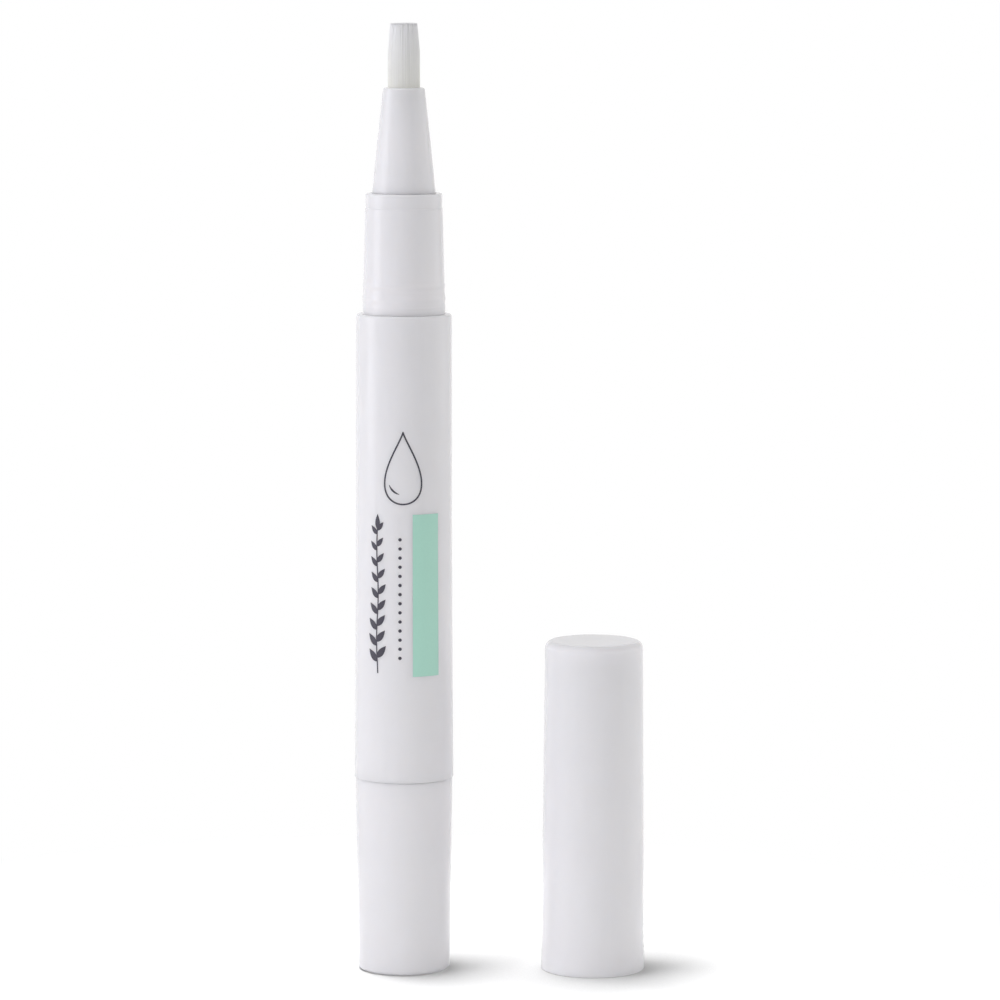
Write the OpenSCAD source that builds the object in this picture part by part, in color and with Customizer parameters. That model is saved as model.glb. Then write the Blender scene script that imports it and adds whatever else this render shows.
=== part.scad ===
// Twist-up brush pen for cuticle oil, standing on its knob with its cap beside it.
// The frame's origin is on the pen's axis at the table, with +Z up and the cap on +X.

/* [Knob] */
// Height of the turning knob, from the table to its upper face
knob_h = 27.1; // [26:0.1:30]
// Diameter of the knob at its foot
knob_foot_d = 12.82; // [12.6:0.02:13.2]
// Diameter of the knob at its upper face
knob_top_d = 13.44; // [13.2:0.02:13.8]
// Radius of the knob's lower outer edge
knob_edge_r = 0.6; // [0.2:0.05:0.9]
// Thickness of the knob's floor
knob_floor = 1.6; // [1.2:0.1:2]
// Number of ratchet teeth inside the knob
ratchet_teeth = 12; // [8:1:16]
// Depth of the ratchet's teeth
tooth_depth = 0.35; // [0.25:0.05:0.45]

/* [Barrel] */
// Length of the barrel
barrel_l = 64.4; // [62:0.1:75]
// Diameter of the barrel at its lower end
barrel_foot_d = 13.74; // [13.5:0.02:14.2]
// Diameter of the barrel where its taper ends
barrel_waist_d = 13.28; // [13:0.02:13.6]
// Diameter of the barrel at its upper end
barrel_top_d = 13.18; // [12.9:0.02:13.5]
// Height of the taper above the barrel's lower face
barrel_taper_h = 33; // [25:0.5:45]
// Radius of the barrel's upper outer edge
barrel_edge_r = 0.32; // [0.2:0.02:0.5]
// Radius of the barrel's lower outer edge, at the seam
barrel_foot_edge_r = 0.12; // [0.1:0.02:0.4]
// Diameter of the bore that holds the oil
oil_bore_d = 10.8; // [10.6:0.02:11]
// Diameter of the lower bore that holds the drive's housing
socket_d = 11.2; // [11.1:0.02:11.4]
// Depth of that lower bore
socket_l = 16.9; // [15:0.1:18]

/* [Collar and nozzle] */
// Height of the collar above the barrel
collar_h = 16.55; // [15:0.05:18]
// Diameter of the collar at its foot
collar_foot_d = 11.44; // [11.2:0.02:11.6]
// Diameter of the collar below its sealing land
collar_top_d = 10.66; // [10.54:0.02:10.8]
// Diameter of the sealing land that the cap's inner cup slides over
land_d = 10.52; // [10.3:0.02:10.52]
// Height of the sealing land
land_h = 2.05; // [1.5:0.05:2.5]
// Height of the cap grip's beads, from the collar's foot to their upper edge
grip_h = 4.5; // [4:0.1:5.5]
// Height of the beads above the collar's taper
grip_proud = 0.035; // [0.02:0.005:0.06]
// Length of the plug that holds the collar in the barrel
plug_l = 7.2; // [6:0.1:8]
// Diameter of the oil passage through the collar
passage_d = 6.4; // [5:0.1:6.8]
// Height of the nozzle above the collar
nozzle_h = 14.4; // [12:0.05:16]
// Diameter of the nozzle at its foot
nozzle_foot_d = 8.74; // [8.5:0.02:9]
// Diameter of the nozzle at its belly, where its taper grows steeper
nozzle_belly_d = 7.6; // [7.4:0.02:7.7]
// Diameter of the nozzle at its tip, below the rounded edge
nozzle_tip_d = 5.72; // [5.6:0.02:6]
// Diameter of the nozzle's spigot in the collar
spigot_d = 7.96; // [7.8:0.02:8.1]
// Length of the nozzle's spigot
spigot_l = 11.05; // [9:0.05:12]
// Diameter of the brush's seat in the nozzle
seat_d = 6; // [5.8:0.02:6.1]

/* [Brush] */
// Diameter of the bundle of bristles
tuft_d = 4.5; // [4:0.02:4.52]
// Diameter of the bundle at its tip
tuft_tip_d = 3.68; // [3.4:0.02:4]
// Length of the bristles outside the nozzle
tuft_out = 8.9; // [7:0.1:12]
// Length of the end that is drawn in
tuft_drawn_l = 4; // [2:0.1:5]
// Number of bristles
strands = 330; // [300:10:360]
// Thickness of a bristle, corner to corner
strand_d = 0.16; // [0.1:0.01:0.17]
// Thickness of the bristles' backing
backing_h = 1.4; // [1:0.1:1.8]
// Outer diameter of the feed tube
feed_d = 1.2; // [1:0.02:1.3]
// Bore of the feed tube
feed_bore_d = 0.7; // [0.5:0.02:0.8]
// How far the feed tube reaches out of the nozzle, among the bristles
feed_out = 3.5; // [1:0.1:4.5]
// Height of the plug that holds the brush in the nozzle
retainer_h = 7.6; // [6:0.1:9]

/* [Cap] */
// Distance from the pen's axis to the cap's axis, where the cap stands
cap_x = 26.34; // [20:0.1:60]
// Room in the closed cap above the tip of the brush
brush_room = 3; // [1.5:0.1:6]
// Outer diameter of the cap at its rim
cap_rim_d = 14.44; // [14.2:0.02:14.8]
// Outer diameter of the cap at its closed end
cap_top_d = 13.58; // [13.3:0.02:14]
// Radius of the edge at the cap's closed end
cap_edge_r = 1; // [0.5:0.05:1.4]
// Radial clearance of the cap's bore around the collar's foot
cap_gap = 0.21; // [0.1:0.01:0.3]
// Wall of the inner cup around the brush
liner_wall = 0.9; // [0.7:0.05:1.1]
// Thickness of the inner cup's closed end
liner_top = 1.2; // [0.8:0.1:1.6]
// Thickness of the cap's closed end
cap_top = 2.1; // [1.5:0.1:2.6]

/* [Drive] */
// Outer diameter of the threaded rod
rod_d = 4.8; // [4.6:0.02:4.9]
// Width across the rod's flats
rod_flats = 3.4; // [3.2:0.02:3.6]
// Depth of the thread
thread_depth = 0.55; // [0.4:0.05:0.6]
// Lead of the thread, which has one start
thread_lead = 3; // [2.5:0.1:3.5]
// Height of the nut
nut_h = 5; // [4:0.1:6]
// Diameter of the nut
nut_d = 9.16; // [8.8:0.02:9.3]
// Diameter of the housing's spigot inside the knob
housing_spigot_d = 10; // [9.8:0.02:10]
// Length of that spigot
housing_spigot_l = 15.1; // [14:0.1:16]
// Outer diameter of the drive sleeve
sleeve_d = 7; // [6.8:0.02:7.1]
// Height of the click ring
click_h = 3; // [2.4:0.1:3.4]
// Thickness of the click ring's arms
arm_t = 0.4; // [0.3:0.01:0.45]
// Height of the piston
piston_h = 6; // [5:0.1:7]
// Clear height under the full pen's piston, and under its rod
rest_gap = 1; // [0.5:0.1:1.5]

/* [Fits] */
// Gap at the seam, between the knob's upper face and the barrel's lower face
seam_gap = 0.04; // [0.02:0.01:0.15]
// Radial clearance of parts that turn or slide
run_gap = 0.1; // [0.06:0.01:0.1]
// Radial clearance of the piston's lips and of the rod in its guide
slide_gap = 0.05; // [0.03:0.01:0.08]
// Radial clearance of parts that are pushed together for good
seat_gap = 0.02; // [0.01:0.005:0.03]
// Clearance of the thread on its crest, root and flanks
thread_gap = 0.12; // [0.08:0.01:0.15]

/* [Hidden] */
$fn = 96;

// Sides of a round thread, and steps of a rounded edge
turn_sides = 24;
edge_steps = 5;
// Overrun of every cut
over = 1;
golden_angle = 137.508;

// Colours, as the photograph shows them
shell_white = [0.93, 0.93, 0.94];
inner_white = [0.86, 0.87, 0.88];
bristle_grey = [0.80, 0.80, 0.79];
drive_white = [0.75, 0.78, 0.80];

// Heights of the seams, from the table up
seam_z = knob_h + seam_gap;
barrel_top = seam_z + barrel_l;
step_z = seam_z + socket_l;
collar_top = barrel_top + collar_h;
nozzle_top = collar_top + nozzle_h;
tuft_top = nozzle_top + tuft_out;

// Small beads that hold pushed-in parts, and the snap between knob and housing
bead_h = 0.8;
bead_proud = 0.12;
snap_proud = 0.4;
key_w = 1.6;
key_proud = 0.52;

// Housing, nut and sleeve
housing_foot = seam_z - housing_spigot_l;
housing_r = socket_d / 2 - seat_gap;
housing_spigot_r = housing_spigot_d / 2;
housing_bead_z = seam_z + socket_l / 3;
snap_share = 0.28;
snap_z = housing_foot + housing_spigot_l * snap_share;
nut_z = step_z - nut_h;
sleeve_r = sleeve_d / 2;
sleeve_top = nut_z - 2 * run_gap;
sleeve_foot_h = 1.2;
sleeve_foot_r = housing_spigot_r - run_gap;
sleeve_body_proud = 0.56;
sleeve_body_r = sleeve_r + sleeve_body_proud;

// Click ring, with arms that spring inwards as the teeth pass, and the ribs that key the sleeve below it
click_top = housing_foot;
click_foot = click_top - click_h;
rib_w = 1;
rib_share = 0.57;
rib_h = (click_foot - knob_floor) * rib_share;
rib_in_r = sleeve_body_r - bead_proud;
click_in_r = sleeve_r + 1.5 * run_gap;
click_out_r = click_in_r + 1.3 * arm_t;
arm_out_r = housing_spigot_r;
arm_in_r = arm_out_r - arm_t;
arm_ease = 3 * run_gap;
arm_angle = 78;
web_angle = 16;
pawl_angle = 5;
valley_angle = 1;
lug_h = 1.6;

// Knob's inside and upper edge
knob_rim_chamfer = 0.03;
knob_bore_r = housing_spigot_r + run_gap;
tooth_sweep_share = 0.9;
tooth_z_gap = 2 * run_gap;

// Threaded rod and piston
rod_r = rod_d / 2;
rod_core_r = rod_r - thread_depth;
rod_foot = knob_floor + rest_gap;
piston_foot = step_z + rest_gap;
rod_shoulder = piston_foot - run_gap;
neck_r = rod_core_r * 0.87;
neck_l = piston_h / 4;
head_r = rod_r + 2 * run_gap;
head_h = piston_h * 0.27;
piston_r = oil_bore_d / 2 - slide_gap;
lip_h = piston_h / 5;
lip_proud = 0.3;
crown_h = piston_h - 0.8 * lip_h;
// Thread's crest, flank and root as shares of its lead, from the middle of the crest
crest_share = 0.12;
root_share = 0.26;

// Collar
plug_r = oil_bore_d / 2 - seat_gap;
plug_foot = barrel_top - plug_l;
plug_bead_z = plug_foot + plug_l / 3;
collar_foot_r = collar_foot_d / 2;
collar_top_r = collar_top_d / 2;
land_r = land_d / 2;
step_h = collar_h - land_h;
land_edge_r = 0.25;
grip_shares = [1, 0.91, 0.81, 0.74, 0.62, 0.53, 0.42, 0.34, 0.31, 0.24];

// Nozzle, brush and feed tube
spigot_r = spigot_d / 2;
spigot_foot = collar_top - spigot_l;
spigot_bead_z = spigot_foot + spigot_l / 4;
seat_r = seat_d / 2;
mouth_r = tuft_d / 2 + run_gap;
nozzle_tip_r = nozzle_tip_d / 2;
nozzle_edge_r = 0.45;
nozzle_belly_share = 0.4;
brush_step_share = 0.27;
brush_step = collar_top + nozzle_h * brush_step_share;
backing_foot = brush_step - backing_h;
backing_r = seat_r - run_gap;
retainer_foot = backing_foot - retainer_h;
retainer_r = seat_r - seat_gap;
retainer_bead_z = retainer_foot + retainer_h / 5;
retainer_cup_h = retainer_h * 0.4;
feed_r = feed_d / 2;
feed_foot = retainer_foot + retainer_cup_h;
strand_tip_share = 0.76;
strand_root = 0.6;
tip_dome = 0.25;
tuft_in_r = feed_r + strand_d / 2 + run_gap;
tuft_out_r = tuft_d / 2 - strand_d / 2;
drawn_share = (tuft_tip_d - strand_d * strand_tip_share) / (tuft_d - strand_d);

// Cap and inner cup, in heights above the table
cap_bore_r = collar_foot_r + cap_gap;
liner_r = cap_bore_r - run_gap;
liner_room_top = collar_h + nozzle_h + tuft_out + brush_room;
cap_room_top = liner_room_top + liner_top;
cap_h = cap_room_top + cap_top;
liner_foot = collar_h - land_h + land_edge_r;
liner_mouth_r = land_r + slide_gap;
liner_mouth_h = land_h + bead_h;
liner_bead_z = liner_foot + bead_h;
cap_snap_share = 0.66;
cap_snap_z = grip_h * cap_snap_share;
cap_snap_r = collar_foot_r - bead_proud / 2;
cap_rim_chamfer = 0.25;

// Points of a rounded corner about a centre, from one angle to another
function corner(x, z, r, from, to) =
    [for (i = [0:edge_steps])
        let (a = from + (to - from) * i / edge_steps)
        [x + r * cos(a), z + r * sin(a)]];

// Radius of a straight taper at a height
function taper(r_low, r_high, z_low, z_high, z) =
    r_low + (r_high - r_low) * (z - z_low) / (z_high - z_low);

// A solid turned from an outline of radius and height
module turned(outline) {
    rotate_extrude() polygon(outline);
}

// A plain ring
module band(r_in, r_out, z_low, z_high) {
    translate([0, 0, z_low])
        rotate_extrude()
            translate([r_in, 0])
                square([r_out - r_in, z_high - z_low]);
}

// A plain round cut or pin
module disc(r, z_low, z_high) {
    translate([0, 0, z_low]) cylinder(r = r, h = z_high - z_low);
}

// A raised bead with sloping sides, rooted a little inside its surface
module bead(r, proud, z, h) {
    turned([
        [r - proud, z], [r, z], [r + proud, z + h / 3], [r + proud, z + h * 2 / 3],
        [r, z + h], [r - proud, z + h]]);
}

// A flat sector between two radii
module sector(r_in, r_out, from, sweep) {
    steps = 8;
    polygon(concat(
        [for (i = [0:steps]) r_out * [cos(from + sweep * i / steps), sin(from + sweep * i / steps)]],
        [for (i = [steps:-1:0]) r_in * [cos(from + sweep * i / steps), sin(from + sweep * i / steps)]]));
}

// Two keys, opposite each other along Y
module keys(r_out, w, z_low, z_high) {
    translate([-w / 2, -r_out, z_low]) cube([w, 2 * r_out, z_high - z_low]);
}

// The rod's outline cut by its two flats: the radius at an angle
function flat_r(r, flats, a) = r * abs(cos(a)) > flats / 2 ? flats / 2 / abs(cos(a)) : r;

// A screw of one start with a trapezoid thread, as one closed skin that climbs with the thread
module screw(core_r, crest_r, flats, crest_half, root_half, z_low, turns) {
    offsets = [-root_half, -crest_half, crest_half, root_half];
    radii = [core_r, crest_r, crest_r, core_r];
    last = turns * turn_sides;
    function spot(k, m) =
        let (a = 360 * k / turn_sides, r = flat_r(radii[m], flats, a))
        [r * cos(a), r * sin(a), z_low + thread_lead * k / turn_sides + offsets[m]];
    function at(k, m) = 2 + 4 * k + m;
    points = concat(
        [[0, 0, z_low - root_half], [0, 0, z_low + thread_lead * (turns + 1) - root_half]],
        [for (k = [0:last + turn_sides]) for (m = [0:3]) spot(k, m)]);
    thread = [for (k = [0:last + turn_sides - 1]) for (m = [0:2]) each [
        [at(k, m), at(k + 1, m + 1), at(k + 1, m)],
        [at(k, m), at(k, m + 1), at(k + 1, m + 1)]]];
    roots = [for (k = [0:last - 1]) each [
        [at(k, 3), at(k + turn_sides + 1, 0), at(k + 1, 3)],
        [at(k, 3), at(k + turn_sides, 0), at(k + turn_sides + 1, 0)]]];
    foot = [for (k = [0:turn_sides - 1]) [0, at(k, 0), at(k + 1, 0)]];
    head = [for (k = [last:last + turn_sides - 1]) [1, at(k + 1, 3), at(k, 3)]];
    foot_wall = [[0, at(turn_sides, 0), at(0, 3), at(0, 2), at(0, 1), at(0, 0)]];
    head_end = last + turn_sides;
    head_wall = [[1, at(last, 3), at(head_end, 0), at(head_end, 1), at(head_end, 2), at(head_end, 3)]];
    polyhedron(points, concat(thread, roots, foot, head, foot_wall, head_wall));
}

// All the bristles as one skin each, straight in the nozzle and drawn in towards the tip
module bristles(count) {
    bend_z = tuft_top - tuft_drawn_l;
    heights = [backing_foot + strand_root, bend_z, tuft_top];
    spreads = [1, 1, drawn_share];
    widths = [1, 1, strand_tip_share];
    function reach(i) = sqrt(tuft_in_r ^ 2 + (tuft_out_r ^ 2 - tuft_in_r ^ 2) * (i + 0.5) / count);
    function spot(i, ring, side) =
        let (
            a = golden_angle * i,
            b = a + 90 * side,
            r = reach(i),
            drop = ring == 2 ? tip_dome * (r / tuft_out_r) ^ 2 : 0,
            w = widths[ring] * strand_d / 2)
        [r * spreads[ring] * cos(a) + w * cos(b),
         r * spreads[ring] * sin(a) + w * sin(b),
         heights[ring] - drop];
    function at(i, ring, side) = 12 * i + 4 * ring + side % 4;
    points = [for (i = [0:count - 1]) for (ring = [0:2]) for (side = [0:3]) spot(i, ring, side)];
    faces = [for (i = [0:count - 1]) each concat(
        [[at(i, 0, 0), at(i, 0, 1), at(i, 0, 2)], [at(i, 0, 0), at(i, 0, 2), at(i, 0, 3)]],
        [for (ring = [0:1]) for (side = [0:3]) each [
            [at(i, ring, side), at(i, ring + 1, side), at(i, ring + 1, side + 1)],
            [at(i, ring, side), at(i, ring + 1, side + 1), at(i, ring, side + 1)]]],
        [[at(i, 2, 0), at(i, 2, 2), at(i, 2, 1)], [at(i, 2, 0), at(i, 2, 3), at(i, 2, 2)]])];
    polyhedron(points, faces);
}

// Outer cap: a tall cup standing on its rim, with a snap ring for the collar's grip
module cap_shell() {
    top_r = cap_top_d / 2;
    rim_r = cap_rim_d / 2;
    edge_z = cap_h - cap_edge_r;
    side_r = taper(rim_r, top_r, 0, cap_h, edge_z);
    color(shell_white)
    translate([cap_x, 0, 0])
    difference() {
        union() {
            difference() {
                turned(concat(
                    [[0, 0], [rim_r, 0]],
                    corner(side_r - cap_edge_r, edge_z, cap_edge_r, 0, 90),
                    [[0, cap_h]]));
                disc(cap_bore_r, -over, liner_foot);
                disc(liner_r + seat_gap, liner_foot - over, cap_room_top);
            }
            turned([
                [cap_bore_r + bead_proud, cap_snap_z - bead_h / 2], [cap_bore_r, cap_snap_z - bead_h / 2],
                [cap_snap_r, cap_snap_z - bead_h / 6], [cap_snap_r, cap_snap_z + bead_h / 6],
                [cap_bore_r, cap_snap_z + bead_h / 2], [cap_bore_r + bead_proud, cap_snap_z + bead_h / 2]]);
        }
        bead(liner_r + seat_gap, bead_proud, liner_bead_z, bead_h);
        turned([
            [0, -over], [cap_bore_r + cap_rim_chamfer, -over],
            [cap_bore_r + cap_rim_chamfer, 0], [cap_bore_r, cap_rim_chamfer], [0, cap_rim_chamfer]]);
    }
}

// Inner cup: seals on the collar's land and keeps the brush moist
module cap_liner() {
    room_r = liner_r - liner_wall;
    mouth_top = liner_foot + liner_mouth_h;
    color(inner_white)
    translate([cap_x, 0, 0])
    difference() {
        union() {
            disc(liner_r, liner_foot, cap_room_top);
            bead(liner_r, bead_proud, liner_bead_z, bead_h);
        }
        disc(liner_mouth_r, liner_foot - over, mouth_top);
        turned([
            [0, mouth_top - over], [liner_mouth_r, mouth_top - over], [liner_mouth_r, mouth_top],
            [room_r, mouth_top + bead_h], [room_r, liner_room_top - liner_top],
            [room_r - liner_top, liner_room_top], [0, liner_room_top]]);
    }
}

// Bristles fused to the backing that the nozzle traps
module brush_tuft() {
    color(bristle_grey)
    union() {
        difference() {
            disc(backing_r, backing_foot, brush_step);
            disc(feed_r + seat_gap, backing_foot - over, brush_step + over);
        }
        bristles(strands);
    }
}

// Thin tube that leads oil into the middle of the bristles
module feed_tube() {
    color(drive_white)
    band(feed_bore_d / 2, feed_r, feed_foot, nozzle_top + feed_out);
}

// Plug that holds the brush against the nozzle's step and carries the feed tube
module brush_retainer() {
    cup_r = retainer_r * 0.7;
    color(inner_white)
    difference() {
        union() {
            disc(retainer_r, retainer_foot, backing_foot);
            bead(retainer_r, bead_proud, retainer_bead_z, bead_h);
        }
        disc(feed_r + seat_gap, retainer_foot - over, backing_foot + over);
        disc(cup_r, retainer_foot - over, feed_foot);
    }
}

// Tapered nozzle with its spigot
module nozzle_cone() {
    foot_r = nozzle_foot_d / 2;
    edge_z = nozzle_top - nozzle_edge_r;
    color(shell_white)
    difference() {
        union() {
            turned(concat(
                [[0, spigot_foot], [spigot_r, spigot_foot], [spigot_r, collar_top], [foot_r, collar_top],
                 [nozzle_belly_d / 2, collar_top + nozzle_h * nozzle_belly_share]],
                corner(nozzle_tip_r - nozzle_edge_r, edge_z, nozzle_edge_r, 0, 60),
                [[nozzle_tip_r - nozzle_edge_r * 0.75, nozzle_top], [0, nozzle_top]]));
            bead(spigot_r, bead_proud, spigot_bead_z, bead_h);
        }
        disc(seat_r, spigot_foot - over, brush_step);
        disc(mouth_r, brush_step - over, nozzle_top + over);
        bead(seat_r, bead_proud, retainer_bead_z, bead_h);
    }
}

// Radius of the collar at a height above the barrel, with the two beads that grip the cap
function grip_r(share, proud) = taper(collar_foot_r, collar_top_r, 0, step_h, grip_h * share) + proud;

// Collar between barrel and nozzle
module neck_collar() {
    proud = grip_proud * [0, 1, 1, 0, 0.2, 1.1, 1.1, 1, 0.4, 1];
    grip = [for (i = [0:len(grip_shares) - 1])
        [grip_r(grip_shares[i], proud[i]), barrel_top + grip_h * grip_shares[i]]];
    upwards = [for (i = [len(grip) - 1:-1:0]) grip[i]];
    land_z = barrel_top + step_h;
    color(shell_white)
    difference() {
        union() {
            turned(concat(
                [[0, plug_foot], [plug_r, plug_foot], [plug_r, barrel_top], [collar_foot_r, barrel_top],
                 [collar_foot_r, barrel_top + grip_h / 5]],
                upwards,
                [[collar_top_r, land_z], [land_r, land_z]],
                corner(land_r - land_edge_r, collar_top - land_edge_r, land_edge_r, 0, 90),
                [[0, collar_top]]));
            bead(plug_r, bead_proud, plug_bead_z, bead_h);
        }
        disc(passage_d / 2, plug_foot - over, collar_top + over);
        disc(spigot_r + seat_gap, spigot_foot - run_gap, collar_top + over);
        bead(spigot_r + seat_gap, bead_proud, spigot_bead_z, bead_h);
    }
}

// Barrel: the oil's reservoir above, the drive's socket below
module barrel() {
    foot_r = barrel_foot_d / 2;
    waist_r = barrel_waist_d / 2;
    top_r = barrel_top_d / 2;
    foot_edge = foot_r - barrel_foot_edge_r;
    top_edge = top_r - barrel_edge_r;
    color(shell_white)
    difference() {
        turned(concat(
            [[0, seam_z]],
            corner(foot_edge, seam_z + barrel_foot_edge_r, barrel_foot_edge_r, -90, 0),
            [[waist_r, seam_z + barrel_taper_h]],
            corner(top_edge, barrel_top - barrel_edge_r, barrel_edge_r, 0, 90),
            [[0, barrel_top]]));
        disc(socket_d / 2, seam_z - over, step_z);
        disc(oil_bore_d / 2, step_z - over, barrel_top + over);
        bead(socket_d / 2, bead_proud, housing_bead_z, bead_h);
        bead(oil_bore_d / 2, bead_proud, plug_bead_z, bead_h);
    }
}

// Piston with two wiping lips and a socket for the rod's head
module piston() {
    body_r = piston_r - lip_proud;
    top = piston_foot + piston_h;
    crown = piston_foot + crown_h;
    head_z = piston_foot + neck_l - run_gap;
    head_top = rod_shoulder + neck_l + head_h + 2 * run_gap;
    color(inner_white)
    difference() {
        turned([
            [0, piston_foot], [body_r, piston_foot], [piston_r, piston_foot + lip_h / 3],
            [piston_r, piston_foot + lip_h], [body_r, piston_foot + lip_h * 4 / 3],
            [body_r, top - lip_h * 4 / 3], [piston_r, top - lip_h], [piston_r, top],
            [piston_r - lip_proud, top], [piston_r - 2 * lip_proud, crown], [0, crown]]);
        disc(neck_r + run_gap, piston_foot - over, head_top);
        disc(head_r + run_gap, head_z, head_top);
    }
}

// Threaded rod with two flats: turned by the sleeve, driven up by the nut
module screw_rod() {
    crest_half = crest_share * thread_lead;
    root_half = root_share * thread_lead;
    turns = ceil((rod_shoulder - rod_foot) / thread_lead);
    neck_top = rod_shoulder + neck_l + run_gap;
    color(drive_white)
    union() {
        intersection() {
            screw(rod_core_r, rod_r, rod_flats, crest_half, root_half, rod_foot - thread_lead, turns);
            disc(rod_d, rod_foot, rod_shoulder);
        }
        disc(neck_r, rod_shoulder - over, neck_top);
        turned([
            [0, neck_top], [head_r, neck_top], [head_r, neck_top + head_h / 2],
            [neck_r, neck_top + head_h], [0, neck_top + head_h]]);
    }
}

// Nut, keyed in the housing
module drive_nut() {
    crest_half = crest_share * thread_lead + thread_gap;
    root_half = root_share * thread_lead + thread_gap;
    start_turns = floor((nut_z - rod_foot) / thread_lead);
    start_z = rod_foot + (start_turns - 2) * thread_lead;
    turns = ceil(nut_h / thread_lead) + 2;
    color(drive_white)
    difference() {
        union() {
            disc(nut_d / 2, nut_z, step_z);
            intersection() {
                keys(nut_d / 2 + key_proud, key_w, nut_z, step_z);
                disc(nut_d / 2 + key_proud, nut_z, step_z);
            }
        }
        screw(
            rod_core_r + thread_gap, rod_r + thread_gap, nut_d, crest_half, root_half, start_z, turns);
    }
}

// Housing: snapped into the barrel, with the spigot that the knob turns on
module tail_housing() {
    pocket_r = nut_d / 2 + seat_gap;
    bore_r = sleeve_r + run_gap;
    key_r = nut_d / 2 + key_proud + seat_gap;
    color(drive_white)
    difference() {
        union() {
            disc(housing_spigot_r, housing_foot, seam_z + over);
            disc(housing_r, seam_z, step_z);
            bead(housing_r, bead_proud, housing_bead_z, bead_h);
            bead(housing_spigot_r, snap_proud, snap_z, bead_h);
        }
        disc(bore_r, housing_foot - over, nut_z + over);
        disc(pocket_r, nut_z, step_z + over);
        intersection() {
            keys(key_r, key_w + 2 * seat_gap, nut_z, step_z + over);
            disc(key_r, nut_z, step_z + over);
        }
        keys(
            housing_spigot_r + over, key_w + 2 * seat_gap, housing_foot - over,
            housing_foot + lug_h + run_gap);
    }
}

// Sleeve: keyed to the knob's floor, turns the rod and lets it climb
module drive_sleeve() {
    foot_top = knob_floor + sleeve_foot_h;
    body_top = click_foot - run_gap;
    guide_r = rod_r + slide_gap;
    guide_half = rod_flats / 2 + slide_gap;
    color(drive_white)
    difference() {
        union() {
            disc(sleeve_foot_r, knob_floor, foot_top);
            disc(sleeve_body_r, knob_floor, body_top);
            disc(sleeve_r, knob_floor, sleeve_top);
        }
        intersection() {
            disc(guide_r, knob_floor - over, sleeve_top + over);
            translate([-guide_half, -rod_d, knob_floor - over])
                cube([2 * guide_half, 2 * rod_d, sleeve_top - knob_floor + 2 * over]);
        }
        for (quarter = [0:3])
            rotate(45 + 90 * quarter)
                translate([rib_in_r - seat_gap, -rib_w / 2 - seat_gap, knob_floor - over])
                    cube([sleeve_foot_r, rib_w + 2 * seat_gap, rib_h + seat_gap + over]);
    }
}

// Click ring: two springy arms whose pawls ride in the knob's teeth
module click_ring() {
    arm_h = click_h - 2 * arm_ease;
    pawl_r = knob_bore_r + tooth_depth - run_gap;
    web_in_r = click_out_r - arm_t / 2;
    color(drive_white)
    union() {
        band(click_in_r, click_out_r, click_foot, click_top);
        intersection() {
            band(click_in_r, arm_out_r, click_top - over, click_top + lug_h);
            keys(arm_out_r, key_w, click_top - over, click_top + lug_h);
        }
        for (half = [0:1])
            rotate(180 * half)
                translate([0, 0, click_foot + arm_ease])
                    linear_extrude(arm_h)
                        union() {
                            sector(web_in_r, arm_out_r, -web_angle, web_angle + 1);
                            sector(arm_in_r, arm_out_r, 0, arm_angle);
                            sector(arm_in_r, pawl_r, arm_angle - pawl_angle, pawl_angle);
                        }
    }
}

// One valley of the ratchet: steep at its end, sloping back towards its start
module tooth_valley(end_angle) {
    sweep = tooth_sweep_share * 360 / ratchet_teeth;
    deep_r = knob_bore_r + tooth_depth;
    steps = 4;
    polygon(concat(
        [(knob_bore_r - tooth_depth) * [cos(end_angle), sin(end_angle)]],
        [for (i = [0:steps])
            let (a = end_angle - sweep * i / steps, r = deep_r - tooth_depth * i / steps)
            r * [cos(a), sin(a)]],
        [(knob_bore_r - tooth_depth) * [cos(end_angle - sweep), sin(end_angle - sweep)]]));
}

// Knob: a plain tapered cup that turns against the barrel
module knob_shell() {
    foot_r = knob_foot_d / 2;
    top_r = knob_top_d / 2;
    pitch = 360 / ratchet_teeth;
    groove_r = housing_spigot_r + snap_proud + run_gap;
    color(shell_white)
    union() {
        difference() {
            turned(concat(
                [[0, 0]],
                corner(foot_r - knob_edge_r, knob_edge_r, knob_edge_r, -90, 0),
                [[top_r, knob_h - knob_rim_chamfer], [top_r - knob_rim_chamfer, knob_h], [0, knob_h]]));
            disc(knob_bore_r, knob_floor, knob_h + over);
            band(knob_bore_r - over, groove_r, snap_z - run_gap, snap_z + bead_h + run_gap);
            translate([0, 0, click_foot])
                linear_extrude(click_h + tooth_z_gap)
                    for (i = [0:ratchet_teeth - 1])
                        tooth_valley(arm_angle + valley_angle + i * pitch);
        }
        for (quarter = [0:3])
            rotate(45 + 90 * quarter)
                translate([rib_in_r, -rib_w / 2, knob_floor])
                    cube([knob_bore_r - rib_in_r + bead_proud, rib_w, rib_h]);
    }
}

cap_shell();
cap_liner();
brush_tuft();
feed_tube();
brush_retainer();
nozzle_cone();
neck_collar();
barrel();
piston();
screw_rod();
drive_nut();
tail_housing();
drive_sleeve();
click_ring();
knob_shell();
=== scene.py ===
# %% [markdown]
# # A twist-up oil pen and its cap
# The object is a slim white pen that holds cuticle oil. It stands on the knob that is turned to push the
# oil up, a round brush stands out of its nozzle, and its tall cap stands beside it on its open end.
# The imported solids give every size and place, so the script starts by loading them as a fixed frame.
# Everything that follows is in metres in that frame. Sizes of the plastic parts are written in millimetres
# and turned into metres where a mesh is made, because a drawing of such a pen would be in millimetres.

# %% Load the frame and keep its box
import math
import random

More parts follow.
